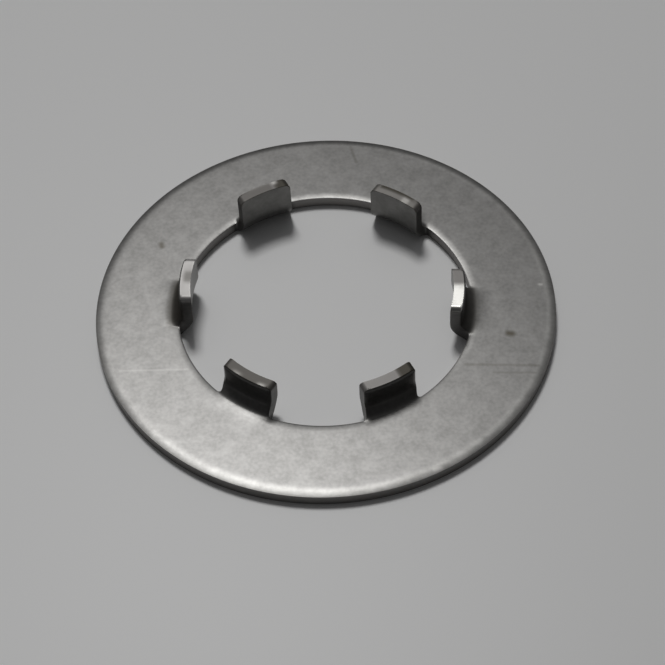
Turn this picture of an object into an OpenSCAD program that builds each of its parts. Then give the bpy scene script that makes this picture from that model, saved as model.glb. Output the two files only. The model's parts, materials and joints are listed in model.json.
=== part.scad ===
/* [Ring] */
// Outer diameter of the flat ring
outer_d = 25; // [20:0.5:40]
// Diameter of the bore that the tabs stand round
bore_d = 16; // [12:0.5:18]
// Thickness of the sheet that the washer is stamped from
sheet_t = 0.65; // [0.4:0.05:1]

/* [Tabs] */
// Number of tabs, evenly spaced, the first on +X
tab_count = 6; // [3:1:8]
// Width of a tab between its two parallel sides
tab_w = 3; // [2:0.1:3.5]
// Height of a tab's tip above the ring's top face
tab_rise = 2.15; // [1.5:0.05:4]
// Radius of a tab's two tip corners
tip_r = 0.3; // [0.1:0.05:0.8]
// Radius of the two corners where a tab's sides run into the bore
root_r = 0.25; // [0.1:0.05:0.3]
// Radius on the inside of the bend
bend_r = 0.65; // [0.5:0.05:0.9]
// How far out from the bore's edge the bend starts
bend_inset = 0.35; // [0.1:0.05:0.5]

/* [Stamped edges] */
// How far the rounded rim of the outer edge reaches over the ring
outer_roll_w = 0.55; // [0.3:0.05:0.8]
// How deep that rim falls away at the cut
outer_roll_h = 0.05; // [0.03:0.01:0.12]
// How far the rounded rim of the bore reaches over the ring
bore_roll_w = 0.6; // [0.4:0.05:0.8]
// How deep that rim falls away at the cut
bore_roll_h = 0.03; // [0.02:0.01:0.12]
// How far the rounded rim of a tab's tip reaches down its outer face
tip_roll_w = 0.2; // [0.15:0.05:0.4]
// How deep that rim falls away at the cut
tip_roll_h = 0.04; // [0.02:0.01:0.12]

/* [Hidden] */
$fn = 128;

outer_r = outer_d / 2;
bore_r = bore_d / 2;
bend_z = sheet_t + bend_r;
bend_start_r = bore_r + bend_inset;
tab_outer_r = bend_start_r - bend_r;
tab_inner_r = tab_outer_r - sheet_t;
tip_z = sheet_t + tab_rise;
// The foot of a tab runs into the ring well past the rim of the bore
foot_r = bore_r + 2 * bore_roll_w;
// Cuts reach this far past the faces that they open
past = 0.1;
// A root corner laps this far over the bore's edge, so that it crosses the edge
root_lap = 0.02;
// Middle of a root corner, which touches the tab's side, and the place beyond
// the bore's edge where the root ends inside the ring
root_mid_r = bore_r - root_r + root_lap;
root_y = tab_w / 2 + root_r;
root_x = sqrt(pow(root_mid_r, 2) - pow(root_y, 2));
edge_x = root_x * (bore_r + past) / root_mid_r;
edge_y = root_y * (bore_r + past) / root_mid_r;

// What the rim takes off a sheet's corner: the corner is at the origin,
// with the rolled face along -X and the cut wall along -Y. The rim is an arc
// that leaves the face without a crease
module rim_cut(roll_w, roll_h) {
    roll_r = (roll_w * roll_w + roll_h * roll_h) / (2 * roll_h);
    difference() {
        translate([-roll_w, -roll_h]) square([roll_w + past, roll_h + past]);
        translate([-roll_w, -roll_r]) circle(roll_r);
    }
}

// Half section of the flat ring, with rolled rims on its top face
module ring_section() {
    difference() {
        translate([bore_r, 0]) square([outer_r - bore_r, sheet_t]);
        translate([outer_r, sheet_t]) rim_cut(outer_roll_w, outer_roll_h);
        translate([bore_r, sheet_t]) mirror([1, 0]) rim_cut(bore_roll_w, bore_roll_h);
    }
}

// The quarter bend from the ring up into a tab
module bend_section() {
    intersection() {
        translate([bend_start_r, bend_z]) difference() {
            circle(bend_r + sheet_t);
            circle(bend_r);
        }
        translate([tab_inner_r, 0]) square([bend_r + sheet_t, bend_z]);
    }
}

// Half section through a tab: foot, bend and upright leg with a rolled tip
module tab_section() {
    translate([bend_start_r, 0]) square([foot_r - bend_start_r, sheet_t]);
    bend_section();
    difference() {
        translate([tab_inner_r, bend_z]) square([sheet_t, tip_z - bend_z]);
        translate([tab_outer_r, tip_z]) mirror([1, -1]) rim_cut(tip_roll_w, tip_roll_h);
    }
}

// Plan of a tab and its root, which widens into the ring
module tab_plan() {
    for (side = [0, 1]) mirror([0, side]) difference() {
        polygon([
            [0, 0], [0, tab_w / 2], [root_x, tab_w / 2], [root_x, root_y],
            [edge_x, edge_y], [foot_r, edge_y], [foot_r, 0]
        ]);
        translate([root_x, root_y]) circle(root_r);
    }
}

// Face of a tab seen along its radius, with rounded tip corners above the root
module tab_face() {
    corner_x = tab_w / 2 - tip_r;
    translate([-edge_y, 0]) square([2 * edge_y, bend_z]);
    translate([-tab_w / 2, 0]) square([tab_w, tip_z - tip_r]);
    translate([-corner_x, 0]) square([2 * corner_x, tip_z]);
    for (side = [-1, 1]) translate([side * corner_x, tip_z - tip_r]) circle(tip_r);
}

// Copies what it is given to the place of each tab
module at_tabs() {
    for (i = [0 : tab_count - 1]) rotate(i * 360 / tab_count) children();
}

// The flat ring, open where the bends of the tabs start inside its edge
module ring() {
    difference() {
        rotate_extrude() ring_section();
        at_tabs() translate([0, 0, -past]) linear_extrude(sheet_t + 2 * past) intersection() {
            circle(bend_start_r);
            translate([0, -tab_w / 2]) square([bend_start_r, tab_w]);
        }
    }
}

// A collar turned up round the bore, kept only where the tabs stand
module tabs() {
    intersection() {
        rotate_extrude() tab_section();
        at_tabs() intersection() {
            linear_extrude(tip_z) tab_plan();
            rotate([90, 0, 90]) linear_extrude(foot_r) tab_face();
        }
    }
}

// The whole washer, one piece of sheet steel
module tab_washer() {
    color("#96948f") {
        ring();
        tabs();
    }
}

tab_washer();
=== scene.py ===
"""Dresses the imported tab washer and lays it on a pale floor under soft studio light.

The washer is one piece of bare cold-rolled steel. Its blank was punched flat and its tabs were then folded
up round the bore, and the mesh is made the same way: one sector of flat sheet, with the rim that a punch
leaves along its cut edges, is repeated round the axis, and then each tab is folded in its own way.
"""

import json
import logging
import math
from collections.abc import Mapping
from dataclasses import dataclass, field
from enum import Enum
from typing import Any

import bpy
import numpy as np
from mathutils import Matrix, Vector


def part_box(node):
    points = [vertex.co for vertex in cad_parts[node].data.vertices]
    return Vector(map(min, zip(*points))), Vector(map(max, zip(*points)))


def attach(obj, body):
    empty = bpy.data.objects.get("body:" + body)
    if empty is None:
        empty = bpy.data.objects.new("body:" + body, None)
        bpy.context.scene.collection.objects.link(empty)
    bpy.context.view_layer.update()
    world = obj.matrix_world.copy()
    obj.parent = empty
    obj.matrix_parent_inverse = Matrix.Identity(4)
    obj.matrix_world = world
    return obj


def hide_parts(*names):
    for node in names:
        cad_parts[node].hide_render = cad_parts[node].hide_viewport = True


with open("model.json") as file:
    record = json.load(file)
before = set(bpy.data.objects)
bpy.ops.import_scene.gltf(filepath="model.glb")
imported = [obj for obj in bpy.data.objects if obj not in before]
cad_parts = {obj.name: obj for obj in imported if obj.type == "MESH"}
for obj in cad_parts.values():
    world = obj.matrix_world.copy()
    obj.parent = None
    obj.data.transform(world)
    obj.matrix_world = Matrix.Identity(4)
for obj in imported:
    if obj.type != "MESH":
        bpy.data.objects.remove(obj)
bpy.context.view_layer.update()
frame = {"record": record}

MM = 0.001
LOG = logging.getLogger("tab_washer")


def linear(hex_colour: str) -> tuple[float, float, float, float]:
    """Turns an sRGB hex colour into linear red, green, blue and full alpha.

    Args:
        hex_colour: A colour such as "#96938d".

    Returns:
        The linear colour, ready for a shader socket.
    """
    channels = [int(hex_colour[i : i + 2], 16) / 255 for i in (1, 3, 5)]
    r, g, b = (c / 12.92 if c <= 0.04045 else ((c + 0.055) / 1.055) ** 2.4 for c in channels)
    return r, g, b, 1.0


def per_mm(size_mm: float) -> float:
    """Texture scale at which a pattern's features are this many millimetres across."""
    return 1 / (size_mm * MM)


def add(
    tree: bpy.types.NodeTree, kind: str, inputs: Mapping[str | int, Any] | None = None, **settings: Any
) -> bpy.types.Node:
    """Adds a node with its settings, and gives each named input a value or a link.

    Args:
        tree: The tree that gets the node.
        kind: The node's type name.
        inputs: Input name or number to a plain value or to the socket that feeds it.
        **settings: Properties of the node itself.

    Returns:
        The new node.
    """
    node = tree.nodes.new(kind)
    for name, value in settings.items():
        setattr(node, name, value)
    for name, value in (inputs or {}).items():
        if isinstance(value, bpy.types.NodeSocket):
            tree.links.new(value, node.inputs[name])
        else:
            node.inputs[name].default_value = value
    return node


class Mark(Enum):
    """The vertex attributes that the steel's finish reads from the mesh."""

    SHEARED = "sheared"
    # Burnish, with painted highlight and glints on it
    BURNISH_AND_HIGHLIGHT = "burnished"
    # Darker tips, and painted shade in the bends and on one tip
    DARKENED_AND_SHADED = "stained"


def eased(value: np.ndarray, start: float, end: float) -> np.ndarray:
    """Rises smoothly from zero at one value to one at another."""
    part = np.clip((value - start) / (end - start), 0, 1)
    return part * part * (3 - 2 * part)


@dataclass(frozen=True)
class PunchedRim:
    """The rounded rim that a punch leaves along one face of a cut edge, in millimetres.

    It is a broad shallow roll that may end in a narrow steeper lip. The die burnishes it, fully within a
    part of its reach and less beyond.
    """

    reach: float
    fall: float
    lip_reach: float = 0.1
    lip_fall: float = 0.0
    burnish: float = 0.0
    full_burnish: float = 0.4
    steps: int = 5
    lip_steps: int = 4

    def distances(self) -> np.ndarray:
        """Distances from the cut at which the rim needs a line of points, nearest first."""
        lip = np.linspace(0, self.lip_reach, self.lip_steps + 1)[:-1]
        return np.concatenate([lip, np.linspace(self.lip_reach, self.reach, self.steps + 1)])

    def drop(self, distance: np.ndarray) -> np.ndarray:
        """Depth of the rim below the face, of arcs so shallow that parabolas draw them.

        Args:
            distance: Distance from the cut edge.

        Returns:
            The depth at each of those distances.
        """
        roll = self.fall * np.clip(1 - distance / self.reach, 0, 1) ** 2
        return roll + self.lip_fall * np.clip(1 - distance / self.lip_reach, 0, 1) ** 2

    def burnish_and_glint(self, distance: np.ndarray) -> np.ndarray:
        """How far the rim is lightened at each distance from the cut edge: the die's burnish, with painted
        highlight on the outer rim.
        """
        return self.burnish * eased(distance, self.reach, self.full_burnish * self.reach)


@dataclass(frozen=True)
class Blemish:
    """A short mark on the ring's top face, from one place to another in millimetres; some are painted
    highlight and painted shade.
    """

    start: tuple[float, float]
    end: tuple[float, float]
    half_width: float
    strength: float
    bright: bool = False

    def mask(self, tree: bpy.types.NodeTree, place: bpy.types.NodeSocket) -> bpy.types.NodeSocket:
        """Adds nodes that give the mark's strength on it and fade to zero beside it.

        Args:
            tree: The material's tree.
            place: Object coordinates.

        Returns:
            The socket that gives the mask.
        """
        first = Vector((*self.start, 0.0)) * MM
        run = Vector((*self.end, 0.0)) * MM - first
        flat = add(tree, "ShaderNodeVectorMath", {0: place, 1: (1.0, 1.0, 0.0)}, operation="MULTIPLY")
        away = add(tree, "ShaderNodeVectorMath", {0: flat.outputs[0], 1: first}, operation="SUBTRACT")
        part = add(
            tree,
            "ShaderNodeVectorMath",
            {0: away.outputs[0], 1: run / run.length_squared},
            operation="DOT_PRODUCT",
        )
        held = add(tree, "ShaderNodeClamp", {"Value": part.outputs["Value"]})
        nearest = add(
            tree, "ShaderNodeVectorMath", {0: run, "Scale": held.outputs[0]}, operation="SCALE"
        )
        gap = add(
            tree, "ShaderNodeVectorMath", {0: away.outputs[0], 1: nearest.outputs[0]}, operation="DISTANCE"
        )
        fade = add(
            tree,
            "ShaderNodeMapRange",
            {
                "Value": gap.outputs["Value"],
                "From Max": self.half_width * MM,
                "To Min": self.strength,
                "To Max": 0.0,
            },
            interpolation_type="SMOOTHSTEP",
        )
        return fade.outputs[0]


@dataclass(frozen=True)
class ColdRolledSteel:
    """Bare cold-rolled sheet steel, dull with oil and handling, punched and not plated.

    It gives the eye a dark grey metal with a broad soft sheen and a fine pepper-like mottle. A dull skin of
    oil and oxide scatters a part of the light, so the steel stays grey where it mirrors nothing. Where the
    die's burnish shows, it is bare and lighter, and the same lighter colour is painted as highlight on the
    outer rim, as glints on the tab tips, on a chip and on the bright side of a groove. Where the sheet was
    sheared it is rough, lighter and takes no sheen; the outer wall takes less of that colour, a painted
    shade.
    A dark brown colour is painted as shade into some bends and on the dark side of the groove, and some
    tips are darker.
    """

    name: str = "cold_rolled_steel_dull"
    light: str = "#757472"
    dark: str = "#61605e"
    torn: str = "#a9a6a4"
    # Lighter bare colour where the die's burnish shows, also painted as highlight and glints
    pressed_and_highlight: str = "#bcbbb7"
    # Dark brown colour of pits and darker tips, also painted as shade in the bends and along a groove
    oily: str = "#403c33"
    # How much of the metal shows through its dull skin
    bareness: float = 0.6
    roughness: float = 0.31
    torn_roughness: float = 0.6
    pressed_roughness: float = 0.3
    oily_roughness: float = 0.55
    grain_mm: float = 0.2
    grain_detail: float = 2.0
    grain_depth_mm: float = 0.00012
    mottle_mm: float = 0.8
    mottle_detail: float = 3.0
    # Share of the mottle in the pepper, the rest being grain
    cloudiness: float = 0.6
    # Range of the raw noise that is spread from nothing to full
    noise_low: float = 0.3
    noise_high: float = 0.7
    # The burnish, and the highlight painted with it, is uneven within these factors
    least_worn: float = 0.7
    most_worn: float = 1.2
    blemishes: tuple[Blemish, ...] = (
        # Painted highlight on the left stretch of a groove
        Blemish((-10.73, -4.75), (-7.11, -4.53), half_width=0.12, strength=0.1, bright=True),
        # Painted highlight on a small chip in the outer rim
        Blemish((6.2, -10.6), (6.5, -10.5), half_width=0.2, strength=0.3, bright=True),
        # Painted shade on the right stretches of the same groove
        Blemish((7.66, -3.72), (11.53, -3.66), half_width=0.16, strength=0.35),
        Blemish((9.18, -4.22), (11.37, -4.15), half_width=0.12, strength=0.25),
        Blemish((0.79, 11.94), (1.16, 10.80), half_width=0.16, strength=0.35),
        Blemish((-9.41, 4.25), (-9.37, 4.05), half_width=0.26, strength=0.8),
        Blemish((9.94, -1.52), (10.12, -1.55), half_width=0.34, strength=1.0),
        Blemish((11.62, 1.95), (11.70, 1.95), half_width=0.16, strength=0.35, bright=True),
    )

    def marks(
        self, tree: bpy.types.NodeTree, place: bpy.types.NodeSocket, bright: bool
    ) -> bpy.types.NodeSocket:
        """Joins the masks of all bright or all dark blemishes into one.

        Args:
            tree: The material's tree.
            place: Object coordinates.
            bright: Which of the two kinds is wanted.

        Returns:
            The socket that gives the joined mask.
        """
        masks = [mark.mask(tree, place) for mark in self.blemishes if mark.bright == bright]
        joined = masks[0]
        for mask in masks[1:]:
            joined = add(tree, "ShaderNodeMath", {0: joined, 1: mask}, operation="MAXIMUM").outputs[0]
        return joined

    def material(self) -> bpy.types.Material:
        """Builds the steel.

        Returns:
            The finished material.
        """
        material = bpy.data.materials.new(self.name)
        material.use_nodes = True
        tree = material.node_tree
        tree.nodes.clear()
        place = add(tree, "ShaderNodeTexCoord").outputs["Object"]
        sheared, burnished, stained = (
            add(tree, "ShaderNodeAttribute", attribute_name=mark.value).outputs["Fac"] for mark in Mark
        )
        patterns = []
        for size_mm, detail in ((self.grain_mm, self.grain_detail), (self.mottle_mm, self.mottle_detail)):
            pattern = add(
                tree, "ShaderNodeTexNoise", {"Vector": place, "Scale": per_mm(size_mm), "Detail": detail}
            )
            spread = add(
                tree,
                "ShaderNodeMapRange",
                {"Value": pattern.outputs["Fac"], "From Min": self.noise_low, "From Max": self.noise_high},
            )
            patterns.append(spread.outputs[0])
        grain, cloud = patterns
        # The sockets of a mix share their names, so they are known by their numbers
        pepper = add(tree, "ShaderNodeMix", {0: self.cloudiness, 2: grain, 3: cloud}).outputs[0]
        uneven = add(tree, "ShaderNodeMix", {0: cloud, 2: self.least_worn, 3: self.most_worn}).outputs[0]
        worn_and_highlight = add(tree, "ShaderNodeMath", {0: burnished, 1: uneven}, operation="MULTIPLY").outputs[0]
        colour = linear(self.dark)
        # Each layer lays a colour over the last: mottle, torn steel, burnish with painted highlight and
        # glints, darker tips and painted shade, then the dark and bright marks, some of them painted shade
        # and highlight
        for part, over in (
            (pepper, self.light),
            (sheared, self.torn),
            (worn_and_highlight, self.pressed_and_highlight),
            (stained, self.oily),
            (self.marks(tree, place, bright=False), self.oily),
            (self.marks(tree, place, bright=True), self.pressed_and_highlight),
        ):
            layer = add(tree, "ShaderNodeMix", {0: part, 6: colour, 7: linear(over)}, data_type="RGBA")
            colour = layer.outputs[2]
        rough = self.roughness
        for part, over in (
            (sheared, self.torn_roughness),
            (worn_and_highlight, self.pressed_roughness),
            (stained, self.oily_roughness),
        ):
            rough = add(tree, "ShaderNodeMix", {0: part, 2: rough, 3: over}).outputs[0]
        metal = add(tree, "ShaderNodeMix", {0: worn_and_highlight, 2: self.bareness, 3: 1.0}).outputs[0]
        bump = add(
            tree,
            "ShaderNodeBump",
            {"Height": grain, "Strength": 1.0, "Distance": self.grain_depth_mm * MM},
        ).outputs["Normal"]
        shader = add(
            tree,
            "ShaderNodeBsdfPrincipled",
            {"Base Color": colour, "Metallic": metal, "Roughness": rough, "Normal": bump},
        )
        add(tree, "ShaderNodeOutputMaterial", {"Surface": shader.outputs["BSDF"]})
        return material


@dataclass(frozen=True)
class TipMark:
    """A stretch of a tab's tip, from one place across it to another, that is made lighter or darker; the
    lighter ones are burnish with a painted glint.

    It runs across the whole tip, and fades a little at its corners, unless it says where it starts and
    ends. It may lie on only a part of the sheet's thickness, which is counted from the tab's outer face, at
    zero, to its inner face, at one.
    """

    strength: float
    start: float = -1.6
    end: float = 1.6
    outer: float = -1.0
    inner: float = 2.0
    fade: float = 0.18
    fade_in: float = 0.2

    def cover(self, across: np.ndarray, depth: np.ndarray) -> np.ndarray:
        """Strength of the mark on points of the tip, with soft edges.

        Args:
            across: Distance of each point across from the tab's middle.
            depth: Depth of each point under the outer face, in parts of the sheet's thickness.

        Returns:
            The mark's strength at each point.
        """
        along = eased(across, self.start - self.fade, self.start + self.fade)
        along *= eased(across, self.end + self.fade, self.end - self.fade)
        within = eased(depth, self.outer - self.fade_in, self.outer + self.fade_in)
        within *= eased(depth, self.inner + self.fade_in, self.inner - self.fade_in)
        return self.strength * along * within


@dataclass(frozen=True)
class BendShade:
    """Painted shade on the outer face of a bend: a darker brown colour and rougher steel, with soft edges,
    in millimetres.

    It reaches a little onto the ring, fades towards the tip and towards the tab's sides, and covers only
    the outermost part of the sheet's thickness.
    """

    strength: float = 0.0
    onto_ring: float = 0.3
    clear_of_tip: float = 1.0
    half_w: float = 2.0
    full_half_w: float = 1.2
    depth: float = 0.3
    full_depth: float = 0.1

    def cover(
        self, inward: np.ndarray, from_tip: np.ndarray, across: np.ndarray, depth: np.ndarray
    ) -> np.ndarray:
        """Strength of the painted shade on points of a tab and of the ring beside it.

        Args:
            inward: Distance of each point of the blank past the line where the bend starts.
            from_tip: Distance of each point of the blank from the tip.
            across: Distance of each point across from the tab's middle.
            depth: Depth of each point under the outer face, in parts of the sheet's thickness.

        Returns:
            The painted shade's strength at each point.
        """
        up_tab = eased(inward, -self.onto_ring, self.onto_ring) * eased(from_tip, 0.0, self.clear_of_tip)
        sideways = eased(np.abs(across), self.half_w, self.full_half_w)
        return self.strength * up_tab * sideways * eased(depth, self.depth, self.full_depth)


@dataclass(frozen=True)
class Fold:
    """How one tab left the bending die, against an ideal tab, in millimetres and degrees.

    Its bend may lie further out and be wider, its tip may be lower, and the tab may lean inwards past
    upright, be wider and stand sideways. The die stood a little off the middle of the blank, so the tabs on
    one side stand further out and taller.
    """

    outward: float
    lower: float
    wider_bend: float = 0.0
    lean_deg: float = 0.0
    wider: float = 0.0
    sideways: float = 0.0
    # Painted brown shade on the bend, stretches of the tip made darker, and stretches made lighter by
    # burnish and painted glints
    bend_shade: BendShade = BendShade()
    darkened_tips: tuple[TipMark, ...] = ()
    rubs_and_glints: tuple[TipMark, ...] = ()


class Skin:
    """Collects the vertices, faces and vertex marks of one sector of the flat blank."""

    def __init__(self, washer: "TabWasher") -> None:
        """Starts an empty skin.

        Args:
            washer: The washer whose blank this is.
        """
        self.washer = washer
        self.points: list[np.ndarray] = []
        self.marks: dict[Mark, list[float]] = {mark: [] for mark in Mark}
        self.faces: list[list[int]] = []

    def put(
        self,
        radius: np.ndarray,
        across: np.ndarray,
        depth: np.ndarray,
        sheared: np.ndarray,
        burnished: np.ndarray,
    ) -> np.ndarray:
        """Adds a grid of vertices.

        Args:
            radius: Distance of each point from the axis.
            across: Distance of each point across from the tab's middle.
            depth: Depth of each point under the rolled face.
            sheared: One where the sheet was torn, zero on a face of the sheet.
            burnished: How far the die's burnish lightens each point.

        Returns:
            The numbers of the new vertices, in the grid's shape.
        """
        first = len(self.points)
        flat = np.stack([np.sqrt(radius**2 - across**2), across, self.washer.sheet_t - depth], axis=-1)
        self.points.extend(flat.reshape(-1, 3))
        self.marks[Mark.SHEARED].extend(np.ravel(sheared))
        self.marks[Mark.BURNISH_AND_HIGHLIGHT].extend(np.ravel(burnished))
        self.marks[Mark.DARKENED_AND_SHADED].extend([0.0] * np.size(radius))
        return first + np.arange(np.size(radius)).reshape(np.shape(radius))

    def join(self, grid: np.ndarray) -> None:
        """Joins a grid of vertex numbers with quads that turn from its columns towards its rows."""
        corners = (grid[:-1, :-1], grid[:-1, 1:], grid[1:, 1:], grid[1:, :-1])
        self.faces.extend(np.stack(corners, axis=-1).reshape(-1, 4).tolist())

    def mesh(self, name: str) -> bpy.types.Mesh:
        """Turns what was collected into a mesh in metres.

        Args:
            name: Name of the mesh.

        Returns:
            The mesh, with one attribute for each mark.
        """
        mesh = bpy.data.meshes.new(name)
        mesh.from_pydata(np.array(self.points) * MM, [], self.faces)
        for mark, values in self.marks.items():
            mesh.attributes.new(mark.value, "FLOAT", "POINT").data.foreach_set("value", values)
        return mesh


@dataclass
class TabWasher:
    """The washer as it is made: a flat blank with punched edges, folded up into tabs at its bore.

    Lengths are in millimetres. A point of the flat blank is known by its distance from the axis, its
    distance across from the middle of the nearest tab, and its depth under the face that the punch rolled.
    """

    outer_r: float
    tab_inner_r: float
    sheet_t: float
    tip_z: float
    finish: ColdRolledSteel
    tab_w: float = 3.0
    bend_r: float = 0.65
    bend_inset: float = 0.35
    tip_r: float = 0.3
    root_r: float = 0.25
    outer_rim: PunchedRim = PunchedRim(reach=0.66, fall=0.053, burnish=0.28)
    tight_rim: PunchedRim = PunchedRim(reach=0.38, fall=0.05)
    bore_rim: PunchedRim = PunchedRim(reach=0.42, fall=0.02, lip_reach=0.08, lip_fall=0.006, burnish=0.03)
    tab_rim: PunchedRim = PunchedRim(reach=0.24, fall=0.1)
    # Where round the axis the outer rim is tightest, and where its burnish, which is partly painted
    # highlight, is strongest
    tight_rim_deg: float = 75.0
    rim_burnish_and_highlight_deg: float = 325.0
    # The gentle rise ahead of a bend, and how far beside a tab the ring is drawn along
    lead_w: float = 0.6
    lead_deg: float = 5.0
    drag: float = 0.15
    # How far the die's burnish lightens the inner faces of the tabs, and how much of the torn colour the
    # outer wall takes, held low as painted shade
    inner_burnish: float = 0.22
    shaded_outer_torn: float = 0.45
    # The small bevel on each edge that turns by more than the angle
    broken_edge: float = 0.02
    broken_edge_rows: int = 2
    break_over_deg: float = 50.0
    # How near the cut a tab's edge reaches, and how far from the tip its marks start and are full
    cut_edge_w: float = 0.03
    tip_marks_from: float = 0.35
    tip_marks_full: float = 0.2
    # Points above this part of the thickness are on the rolled face
    face_part: float = 0.9
    # Points that are as near to each other as this are joined into one
    join_within: float = 0.001
    # Rows and columns of the mesh, and the angle below which it is shaded smooth
    flat_rows: int = 10
    root_rows: int = 4
    bend_rows: int = 10
    leg_rows: int = 6
    tip_rows: int = 8
    wall_rows: int = 6
    tab_columns: int = 14
    bore_columns: int = 16
    smooth_below_deg: float = 35.0
    # One for each tab, in turn round the axis from the tab on +X
    folds: tuple[Fold, ...] = (
        Fold(
            outward=-0.10,
            lower=0.30,
            bend_shade=BendShade(0.5),
            darkened_tips=(TipMark(0.35),),
            rubs_and_glints=(TipMark(1.0, end=0.28),),
        ),
        Fold(
            outward=-0.22,
            lower=0.06,
            wider_bend=-0.3,
            # The second darker stretch is painted shade along the tip's outer edge, and the lighter ones
            # painted highlight along its inner edge, with burnish
            darkened_tips=(TipMark(0.7), TipMark(1.0, -1.0, 1.2, inner=0.55)),
            rubs_and_glints=(TipMark(0.5, -0.85, -0.3, outer=0.4), TipMark(0.2, -1.2, 1.3, outer=0.5)),
        ),
        Fold(
            outward=-0.08,
            lower=0.05,
            wider_bend=-0.3,
            lean_deg=3.0,
            darkened_tips=(TipMark(0.95, end=-0.65), TipMark(0.6, start=-0.65)),
            # The lighter stretches are a bright flake and a painted highlight along the tip's outer edge
            rubs_and_glints=(TipMark(1.0, -0.9, -0.65, inner=0.5), TipMark(0.4, -0.7, 0.7, inner=0.2)),
        ),
        Fold(
            outward=0.15,
            lower=0.0,
            bend_shade=BendShade(0.8),
            darkened_tips=(TipMark(0.6, -0.5, 0.25, outer=0.4),),
            rubs_and_glints=(TipMark(0.22),),
        ),
        Fold(
            outward=-0.15,
            lower=0.50,
            wider_bend=0.1,
            wider=0.02,
            sideways=-0.13,
            darkened_tips=(TipMark(0.75),),
            # The lighter stretches are painted glints on the tip's outer edge, with burnish
            rubs_and_glints=(TipMark(0.35, -0.85, -0.3, inner=0.4), TipMark(0.5, 0.7, 1.15, inner=0.4)),
        ),
        Fold(
            outward=-0.20,
            lower=0.45,
            wider_bend=0.05,
            wider=0.025,
            sideways=0.175,
            bend_shade=BendShade(0.2),
            darkened_tips=(TipMark(0.35, end=0.5), TipMark(0.95, start=0.5)),
            rubs_and_glints=(TipMark(0.08, -1.3, 0.4),),
        ),
    )
    bore_r: float = field(init=False)
    blank_tip_r: float = field(init=False)

    def __post_init__(self) -> None:
        """Works out the bore, and how far in the tabs of the flat blank reach."""
        bend_start_r = self.tab_inner_r + self.sheet_t + self.bend_r
        self.bore_r = bend_start_r - self.bend_inset
        leg = self.tip_z - self.sheet_t - self.bend_r
        self.blank_tip_r = bend_start_r - self.bend_r * math.pi / 2 - leg

    @classmethod
    def from_frame(cls, finish: ColdRolledSteel) -> "TabWasher":
        """Takes the washer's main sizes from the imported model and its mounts.

        Args:
            finish: The steel that the washer is made of.

        Returns:
            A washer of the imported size.
        """
        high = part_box("tab_washer")[1]
        mounts = {mount["name"]: mount for mount in frame["record"]["mounts"]}
        return cls(
            outer_r=high.x / MM,
            tab_inner_r=mounts["tab_circle"]["dims"]["r_mm"],
            sheet_t=mounts["top_face"]["pos_m"][2] / MM,
            tip_z=high.z / MM,
            finish=finish,
        )

    def half_width(self, radius: np.ndarray) -> np.ndarray:
        """Half the blank tab's width at a radius: more at the root, less at the rounded tip corners."""
        past_corner = np.clip(self.blank_tip_r + self.tip_r - radius, 0, self.tip_r)
        from_root = np.clip(self.root_r - (self.bore_r - radius), 0, self.root_r)
        corner = self.tip_r - np.sqrt(self.tip_r**2 - past_corner**2)
        root = self.root_r - np.sqrt(self.root_r**2 - from_root**2)
        return self.tab_w / 2 - corner + root

    def to_tab_edge(self, radius: np.ndarray, across: np.ndarray) -> np.ndarray:
        """Distance of points on a tab of the blank from its sides and its rounded tip."""
        side = np.abs(across) - self.tab_w / 2 + self.tip_r
        tip = self.blank_tip_r + self.tip_r - radius
        corner = np.hypot(np.clip(side, 0, None), np.clip(tip, 0, None))
        return self.tip_r - corner - np.clip(np.maximum(side, tip), None, 0)

    def at_tip(self, radius: np.ndarray, across: np.ndarray) -> np.ndarray:
        """One on the cut end of a tab of the blank, with its rounded corners, and zero elsewhere."""
        on_edge = eased(self.to_tab_edge(radius, across), 2 * self.cut_edge_w, self.cut_edge_w)
        return on_edge * eased(radius - self.blank_tip_r, self.tip_marks_from, self.tip_marks_full)

    def rolled_rim(self, radius: np.ndarray, across: np.ndarray) -> tuple[np.ndarray, np.ndarray]:
        """Finds the rolled rim along the bore and round the tabs of the blank.

        Args:
            radius: Distance from the axis.
            across: Distance across from the tab's middle.

        Returns:
            The depth of the rim at each point, and how far the die's burnish lightens it there.
        """
        to_tab = self.to_tab_edge(radius, across)
        root_w = self.tab_w / 2 + self.root_r
        out = np.clip(radius - self.bore_r, 0, None)
        to_bore = np.hypot(out, np.clip(root_w - np.abs(across), 0, None))
        up_tab = np.clip((self.bore_r - radius) / self.bend_r, 0, 1)
        depth = (1 - up_tab) * self.bore_rim.drop(to_bore) + up_tab * self.tab_rim.drop(to_tab)
        return depth, (1 - up_tab) * self.bore_rim.burnish_and_glint(to_bore)

    def outer_rolled(self, radius: np.ndarray, azimuth: np.ndarray) -> tuple[np.ndarray, np.ndarray]:
        """Finds the rim of the outer edge, which is tight on one side because the punch stood off centre.

        Args:
            radius: Distance from the axis.
            azimuth: Angle round the axis.

        Returns:
            The depth of the rim at each point, and how far it is lightened there by burnish and painted
            highlight.
        """
        tight = (1 + np.cos(azimuth - math.radians(self.tight_rim_deg))) / 2
        # The burnish is weighted round the axis and is strongest at one side: painted highlight on the rim
        pressed_and_highlight = (1 + np.cos(azimuth - math.radians(self.rim_burnish_and_highlight_deg))) / 2
        distance = self.outer_r - radius
        depth = (1 - tight) * self.outer_rim.drop(distance) + tight * self.tight_rim.drop(distance)
        return depth, pressed_and_highlight * self.outer_rim.burnish_and_glint(distance)

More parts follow.
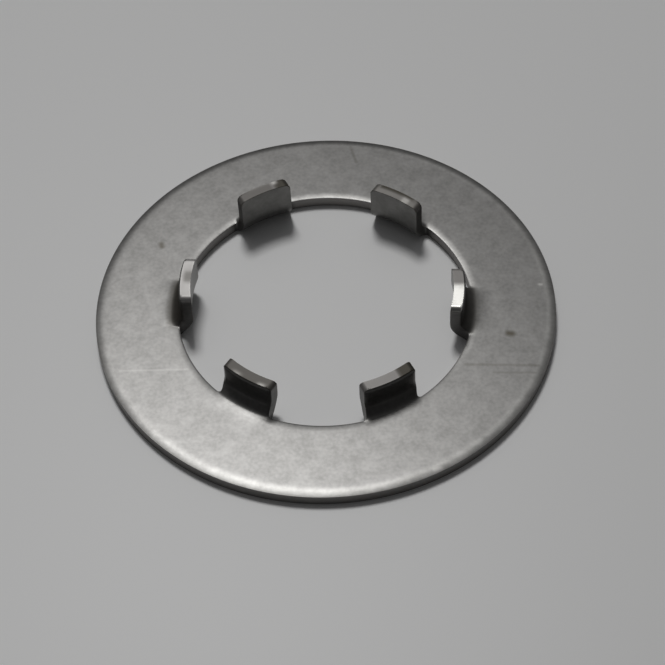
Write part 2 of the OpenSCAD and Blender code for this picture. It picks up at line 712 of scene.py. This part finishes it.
    def ring_grid(self) -> tuple[np.ndarray, np.ndarray, slice]:
        """Lays out the flat ring's share of one sector.

        Returns:
            The radius and the distance across at each point of its grid, outer edge first, and the columns
            that run on into the tab.
        """
        outer = self.outer_r - self.outer_rim.distances()
        inner = self.bore_r + self.bore_rim.distances()[::-1]
        flat = np.linspace(outer[-1], inner[0], self.flat_rows + 1)[1:-1]
        radii = np.concatenate([outer, flat, inner])
        side = self.tab_rim.distances() - self.tab_w / 2 - self.root_r
        middle = np.linspace(side[-1], -side[-1], self.tab_columns + 1)[1:-1]
        tab_angles = np.arcsin(np.concatenate([side, middle, -side[::-1]]) / self.bore_r)
        beside = np.linspace(tab_angles[-1], math.pi / len(self.folds), self.bore_columns + 1)[1:]
        angles = np.concatenate([-beside[::-1], tab_angles, beside])
        radius = np.repeat(radii[:, None], len(angles), axis=1)
        return radius, np.outer(radii, np.sin(angles)), slice(len(beside), len(beside) + len(tab_angles))

    def tab_grid(self, foot_across: np.ndarray) -> tuple[np.ndarray, np.ndarray]:
        """Lays out the tab's share of one sector, from the foot that it shares with the ring to the tip.

        Args:
            foot_across: The distance across of the columns at the foot.

        Returns:
            The radius and the distance across at each point of its grid.
        """
        quarter = np.linspace(0, math.pi / 2, self.root_rows + 1)[:-1]
        root = self.bore_r - self.root_r * (1 - np.cos(quarter))
        bend_end = self.bore_r - self.bend_r
        bend = np.linspace(self.bore_r - self.root_r, bend_end, self.bend_rows + 1)[:-1]
        leg = np.linspace(bend_end, self.blank_tip_r + self.tip_r, self.leg_rows + 1)[:-1]
        round_tip = np.sin(np.linspace(0, math.pi / 2, self.tip_rows + 1))
        tip = self.blank_tip_r + self.tip_r * (1 - round_tip)
        rows = np.concatenate([root, bend, leg, tip])
        share = foot_across / foot_across.max()
        return np.repeat(rows[:, None], len(share), axis=1), np.outer(self.half_width(rows), share)

    def sector_mesh(self) -> bpy.types.Mesh:
        """Builds one flat sector of the blank, open where it meets its neighbours.

        Returns:
            The sector's mesh.
        """
        skin = Skin(self)
        ring_radius, ring_across, columns = self.ring_grid()
        tab_radius, tab_across = self.tab_grid(ring_across[-1, columns])
        radius = np.concatenate([ring_radius.ravel(), tab_radius[1:].ravel()])
        across = np.concatenate([ring_across.ravel(), tab_across[1:].ravel()])
        ring = np.arange(ring_radius.size).reshape(ring_radius.shape)
        tab = ring.size + np.arange(tab_radius[1:].size).reshape(-1, tab_radius.shape[1])
        tab = np.vstack([ring[-1:, columns], tab])
        rolled, pressed_and_highlight = self.rolled_rim(radius, across)
        none = np.zeros(radius.shape)
        root_w = self.tab_w / 2 + self.root_r
        torn = eased(np.abs(across), root_w, root_w + self.root_r) + self.at_tip(radius, across)
        # The outer wall takes less of the light torn colour than the bore wall: painted shade
        torn[radius > (self.bore_r + self.outer_r) / 2] = self.shaded_outer_torn
        top = skin.put(radius, across, rolled, none, pressed_and_highlight)
        drawn = self.inner_burnish * eased(self.bore_r - radius, 0, self.bend_r)
        under = skin.put(radius, across, none + self.sheet_t, none, drawn)
        for grid in (ring, tab):
            skin.join(top[grid])
            skin.join(under[grid[::-1]])
        inner_edge = np.concatenate(
            [ring[-1, : columns.start], tab[:, 0], tab[-1, 1:], tab[-2::-1, -1], ring[-1, columns.stop :]]
        )
        for edge in (ring[0, ::-1], inner_edge):
            walls = []
            for part in np.linspace(0, 1, self.wall_rows + 1):
                depth = rolled[edge] * (1 - part) + self.sheet_t * part
                walls.append(skin.put(radius[edge], across[edge], depth, torn[edge], none[edge]))
            skin.join(np.stack(walls))
        return skin.mesh("washer_sector")

    def repeat_tree(self) -> bpy.types.NodeTree:
        """Builds the tree that repeats a sector round the axis and joins the copies into one skin.

        Returns:
            The tree, with its count, join distance, crease angle and material as named inputs.
        """
        tree = bpy.data.node_groups.new("repeat_round_axis", "GeometryNodeTree")
        for name, kind, way in (
            ("Geometry", "NodeSocketGeometry", "INPUT"),
            ("Count", "NodeSocketInt", "INPUT"),
            ("Join Distance", "NodeSocketFloat", "INPUT"),
            ("Crease Angle", "NodeSocketFloat", "INPUT"),
            ("Material", "NodeSocketMaterial", "INPUT"),
            ("Geometry", "NodeSocketGeometry", "OUTPUT"),
        ):
            tree.interface.new_socket(name, in_out=way, socket_type=kind)
        given = add(tree, "NodeGroupInput").outputs
        points = add(tree, "GeometryNodePoints", {"Count": given["Count"]})
        step = add(tree, "ShaderNodeMath", {0: math.tau, 1: given["Count"]}, operation="DIVIDE")
        index = add(tree, "GeometryNodeInputIndex")
        angle = add(
            tree, "ShaderNodeMath", {0: index.outputs[0], 1: step.outputs[0]}, operation="MULTIPLY"
        )
        turn = add(tree, "ShaderNodeCombineXYZ", {"Z": angle.outputs[0]})
        copies = add(
            tree,
            "GeometryNodeInstanceOnPoints",
            {"Points": points.outputs[0], "Instance": given["Geometry"], "Rotation": turn.outputs[0]},
        )
        real = add(tree, "GeometryNodeRealizeInstances", {"Geometry": copies.outputs[0]})
        joined = add(
            tree,
            "GeometryNodeMergeByDistance",
            {"Geometry": real.outputs[0], "Distance": given["Join Distance"]},
        )
        smooth = add(tree, "GeometryNodeSetShadeSmooth", {"Geometry": joined.outputs[0]}, domain="FACE")
        bend = add(tree, "GeometryNodeInputMeshEdgeAngle")
        gentle = add(
            tree,
            "FunctionNodeCompare",
            {0: bend.outputs["Unsigned Angle"], 1: given["Crease Angle"]},
            data_type="FLOAT",
            operation="LESS_THAN",
        )
        creased = add(
            tree,
            "GeometryNodeSetShadeSmooth",
            {"Geometry": smooth.outputs[0], "Shade Smooth": gentle.outputs[0]},
            domain="EDGE",
        )
        dressed = add(
            tree,
            "GeometryNodeSetMaterial",
            {"Geometry": creased.outputs[0], "Material": given["Material"]},
        )
        add(tree, "NodeGroupOutput", {"Geometry": dressed.outputs[0]})
        return tree

    def blank_mesh(self) -> bpy.types.Mesh:
        """Repeats the flat sector into the whole blank and breaks its sharp edges.

        Returns:
            The blank's mesh.
        """
        sector = bpy.data.objects.new("washer_sector", self.sector_mesh())
        bpy.context.scene.collection.objects.link(sector)
        tree = self.repeat_tree()
        modifier = sector.modifiers.new("repeat", "NODES")
        modifier.node_group = tree
        sizes = {
            "Count": len(self.folds),
            "Join Distance": self.join_within * MM,
            "Crease Angle": math.radians(self.smooth_below_deg),
            "Material": self.finish.material(),
        }
        for socket in tree.interface.items_tree:
            if socket.in_out == "INPUT" and socket.name in sizes:
                modifier[socket.identifier] = sizes[socket.name]
        bevel = sector.modifiers.new("broken_edges", "BEVEL")
        bevel.width = self.broken_edge * MM
        bevel.segments = self.broken_edge_rows
        bevel.limit_method = "ANGLE"
        bevel.angle_limit = math.radians(self.break_over_deg)
        graph = bpy.context.evaluated_depsgraph_get()
        mesh = bpy.data.meshes.new_from_object(sector.evaluated_get(graph))
        sector.modifiers.clear()
        bpy.data.objects.remove(sector)
        return mesh

    def folded(self, flat: np.ndarray, fold: Fold) -> np.ndarray:
        """Folds one tab of the blank up into its real form.

        Args:
            flat: Points of the blank, with the tab's middle on the first axis.
            fold: How this tab left the die.

        Returns:
            The folded points.
        """
        radius, across = np.hypot(flat[:, 0], flat[:, 1]), flat[:, 1]
        below = self.sheet_t - flat[:, 2]
        half_w, bend_r = self.tab_w / 2, self.bend_r + fold.wider_bend
        full = math.pi / 2 + math.radians(fold.lean_deg)
        # Ahead of the bend the sheet starts to rise gently, and less so near the tab's sides
        lead = math.radians(self.lead_deg) * eased(np.abs(across), half_w + self.drag, half_w - self.lead_w)
        lead_z = self.sheet_t + lead * self.lead_w / 2
        # The middle of the bend's arc, and the radius at which the arc starts
        turn_x = self.bore_r + self.bend_inset + fold.outward
        turn_z = lead_z + bend_r * np.cos(lead)
        start_r = turn_x - bend_r * np.sin(lead)
        # How far past that start each point lies, and how steep the sheet is there
        inward = start_r - radius
        led = np.clip(1 + inward / self.lead_w, 0, 1)
        angle = np.where(inward < 0, lead * led, np.clip(lead + inward / bend_r, 0, full))
        # The leg beyond the arc is drawn out or in until its tip stands at its own height
        bend_w = bend_r * (full - lead)
        rise = (self.tip_z - fold.lower - turn_z + bend_r * math.cos(full)) / math.sin(full)
        leg = np.clip(inward - bend_w, 0, None) * rise / (start_r - self.blank_tip_r - bend_w)
        led_height = lead_z + lead * self.lead_w / 2 * (led**2 - 1) - below * np.cos(angle)
        bent_height = turn_z - (bend_r + below) * np.cos(angle) + leg * math.sin(full)
        bent_radius = turn_x - (bend_r + below) * np.sin(angle) - leg * math.cos(full)
        height = np.where(inward < 0, led_height, bent_height)
        new_radius = np.where(inward < 0, radius - below * np.sin(angle), bent_radius)
        up_tab = eased(self.bore_r - radius, 0.0, self.bend_r)
        new_across = across + up_tab * (fold.sideways + fold.wider * across / half_w)
        bent = np.stack([np.sqrt(new_radius**2 - new_across**2), new_across, height], axis=-1)
        # The ring stays flat beside the tab
        beside = eased(np.abs(across), half_w - self.drag, half_w + self.drag)
        beside *= eased(radius, self.bore_r - self.root_r, self.bore_r)
        return bent + (flat - bent) * beside[:, None]

    def fold_marks(self, flat: np.ndarray, fold: Fold) -> tuple[np.ndarray, np.ndarray]:
        """Says where one tab's tip is made lighter by burnish and painted glints, where it is darker, and
        where its bend gets painted shade.

        Args:
            flat: Points of the blank, with the tab's middle on the first axis.
            fold: How this tab left the die.

        Returns:
            How far each point is lightened by burnish and painted glint, and how far it is darkened, in the
            bend as painted shade.
        """
        radius, across = np.hypot(flat[:, 0], flat[:, 1]), flat[:, 1]
        depth = 1 - flat[:, 2] / self.sheet_t
        burnish_and_glint, stained = (
            self.at_tip(radius, across)
            * np.max([np.zeros(len(flat)), *(mark.cover(across, depth) for mark in marks)], axis=0)
            for marks in (fold.rubs_and_glints, fold.darkened_tips)
        )
        inward = self.bore_r + self.bend_inset + fold.outward - radius
        bend_shaded = fold.bend_shade.cover(inward, radius - self.blank_tip_r, across, depth)
        return burnish_and_glint, np.maximum(bend_shaded, stained * (1 - burnish_and_glint))

    def build(self) -> bpy.types.Object:
        """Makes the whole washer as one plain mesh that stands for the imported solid.

        Returns:
            The washer, riding on the root body.
        """
        mesh = self.blank_mesh()
        flat = np.empty(len(mesh.vertices) * 3)
        mesh.vertices.foreach_get("co", flat)
        flat = flat.reshape(-1, 3) / MM
        values = {}
        for mark in Mark:
            values[mark] = np.empty(len(flat))
            mesh.attributes[mark.value].data.foreach_get("value", values[mark])
        step = math.tau / len(self.folds)
        azimuth = np.arctan2(flat[:, 1], flat[:, 0])
        sector = np.rint(azimuth / step).astype(int) % len(self.folds)
        place = np.empty_like(flat)
        for number, fold in enumerate(self.folds):
            mine = sector == number
            turn = np.array(Matrix.Rotation(number * step, 3, "Z"))
            level = flat[mine] @ turn
            place[mine] = self.folded(level, fold) @ turn.T
            burnish_and_glint, stained = self.fold_marks(level, fold)
            values[Mark.SHEARED][mine] *= 1 - burnish_and_glint
            values[Mark.BURNISH_AND_HIGHLIGHT][mine] = np.maximum(values[Mark.BURNISH_AND_HIGHLIGHT][mine], burnish_and_glint)
            values[Mark.DARKENED_AND_SHADED][mine] = stained
        drop, pressed_and_highlight = self.outer_rolled(np.hypot(flat[:, 0], flat[:, 1]), azimuth)
        up_wall = flat[:, 2] / self.sheet_t
        place[:, 2] -= drop * up_wall
        # The outer rim's burnish and its painted highlight go on the rolled face only
        values[Mark.BURNISH_AND_HIGHLIGHT] = np.maximum(values[Mark.BURNISH_AND_HIGHLIGHT], pressed_and_highlight * (up_wall > self.face_part))
        mesh.vertices.foreach_set("co", (place * MM).ravel())
        for mark, value in values.items():
            mesh.attributes[mark.value].data.foreach_set("value", value)
        mesh.update()
        washer = bpy.data.objects.new("folded_washer", mesh)
        bpy.context.scene.collection.objects.link(washer)
        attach(washer, "root")
        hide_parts("tab_washer")
        return washer


@dataclass(frozen=True)
class Viewpoint:
    """Where the camera stands, measured from the middle of the ring's upper edge."""

    height_mm: float = 0.6
    distance_mm: float = 122.1
    azimuth_deg: float = 5.3
    elevation_deg: float = 50.6
    roll_deg: float = 2.73
    focal_length_mm: float = 121.5
    sensor_mm: float = 36.0
    shift_x: float = 0.0106
    shift_y: float = -0.0377
    near_mm: float = 1.0
    far_mm: float = 10_000.0

    def build(self) -> bpy.types.Object:
        """Makes the camera and makes it the scene's own.

        Returns:
            The camera.
        """
        data = bpy.data.cameras.new("camera")
        data.sensor_width = self.sensor_mm
        data.lens = self.focal_length_mm
        data.shift_x = self.shift_x
        data.shift_y = self.shift_y
        data.clip_start = self.near_mm * MM
        data.clip_end = self.far_mm * MM
        camera = bpy.data.objects.new("camera", data)
        turned = Matrix.Rotation(math.radians(self.azimuth_deg), 4, "Z")
        tipped = Matrix.Rotation(math.radians(90 - self.elevation_deg), 4, "X")
        rolled = Matrix.Rotation(math.radians(-self.roll_deg), 4, "Z")
        away = Matrix.Translation((0, 0, self.distance_mm * MM))
        centre = Matrix.Translation((0, 0, self.height_mm * MM))
        camera.matrix_world = centre @ turned @ tipped @ away @ rolled
        bpy.context.scene.collection.objects.link(camera)
        bpy.context.scene.camera = camera
        return camera


@dataclass(frozen=True)
class Studio:
    """The pale floor and the light: one lamp behind and above, the glow round it, and a dim room.

    Lengths are in metres. The room's light turns from front to back within a part of the way round.
    """

    floor_side: float = 2.0
    floor_colour: str = "#f2f2f1"
    lamp_azimuth_deg: float = 105.0
    lamp_elevation_deg: float = 61.0
    lamp_distance: float = 0.6
    lamp_size: float = 0.16
    lamp_watts: float = 1.06
    room_colour: str = "#fdfdff"
    room_front: float = 0.055
    room_back: float = 0.075
    room_turn: float = 0.6
    glow: float = 0.25
    glow_deg: float = 38.0
    floor_roughness: float = 0.42

    def floor(self) -> bpy.types.Object:
        """Makes the floor, a matt pale sheet with a faint sheen.

        Returns:
            The floor.
        """
        half = self.floor_side / 2
        mesh = bpy.data.meshes.new("floor")
        corners = [(-half, -half, 0), (half, -half, 0), (half, half, 0), (-half, half, 0)]
        mesh.from_pydata(corners, [], [(0, 1, 2, 3)])
        material = bpy.data.materials.new("pale_matt_board")
        material.use_nodes = True
        shader = material.node_tree.nodes["Principled BSDF"]
        shader.inputs["Base Color"].default_value = linear(self.floor_colour)
        shader.inputs["Roughness"].default_value = self.floor_roughness
        mesh.materials.append(material)
        floor = bpy.data.objects.new("floor", mesh)
        bpy.context.scene.collection.objects.link(floor)
        return floor

    def towards_lamp(self) -> Vector:
        """Direction from the washer to the lamp."""
        azimuth, elevation = math.radians(self.lamp_azimuth_deg), math.radians(self.lamp_elevation_deg)
        level = math.cos(elevation)
        return Vector((math.cos(azimuth) * level, math.sin(azimuth) * level, math.sin(elevation)))

    def lamp(self) -> bpy.types.Object:
        """Makes the lamp, aimed at the washer.

        Returns:
            The lamp.
        """
        data = bpy.data.lights.new("lamp", "AREA")
        data.shape = "DISK"
        data.size = self.lamp_size
        data.energy = self.lamp_watts
        lamp = bpy.data.objects.new("lamp", data)
        lamp.location = self.towards_lamp() * self.lamp_distance
        lamp.rotation_euler = self.towards_lamp().to_track_quat("Z", "Y").to_euler()
        bpy.context.scene.collection.objects.link(lamp)
        return lamp

    def room(self) -> None:
        """Fills the scene with the room's light: brighter behind the washer, and most so round the lamp."""
        world = bpy.data.worlds.new("room")
        world.use_nodes = True
        tree = world.node_tree
        way = add(tree, "ShaderNodeTexCoord").outputs["Generated"]
        lamp = self.towards_lamp()
        behind = (lamp * Vector((1, 1, 0))).normalized()
        levels = []
        for towards, start, end, low, high in (
            (behind, -self.room_turn, self.room_turn, self.room_front, self.room_back),
            (lamp, math.cos(math.radians(self.glow_deg)), 1.0, 0.0, self.glow),
        ):
            part = add(tree, "ShaderNodeVectorMath", {0: way, 1: towards}, operation="DOT_PRODUCT")
            level = add(
                tree,
                "ShaderNodeMapRange",
                {
                    "Value": part.outputs["Value"],
                    "From Min": start,
                    "From Max": end,
                    "To Min": low,
                    "To Max": high,
                },
                interpolation_type="SMOOTHSTEP",
            )
            levels.append(level.outputs[0])
        both = add(tree, "ShaderNodeMath", {0: levels[0], 1: levels[1]}, operation="ADD")
        background = tree.nodes["Background"]
        background.inputs["Color"].default_value = linear(self.room_colour)
        tree.links.new(both.outputs[0], background.inputs["Strength"])
        bpy.context.scene.world = world


def main() -> None:
    """Builds the camera, the studio and the washer, in that order."""
    logging.basicConfig(level=logging.INFO, format="%(name)s: %(message)s")
    bpy.context.scene.view_settings.view_transform = "Standard"
    Viewpoint().build()
    studio = Studio()
    studio.room()
    for piece in (studio.floor(), studio.lamp(), TabWasher.from_frame(ColdRolledSteel()).build()):
        LOG.info("built %s", piece.name)


if __name__ == "__main__":
    main()
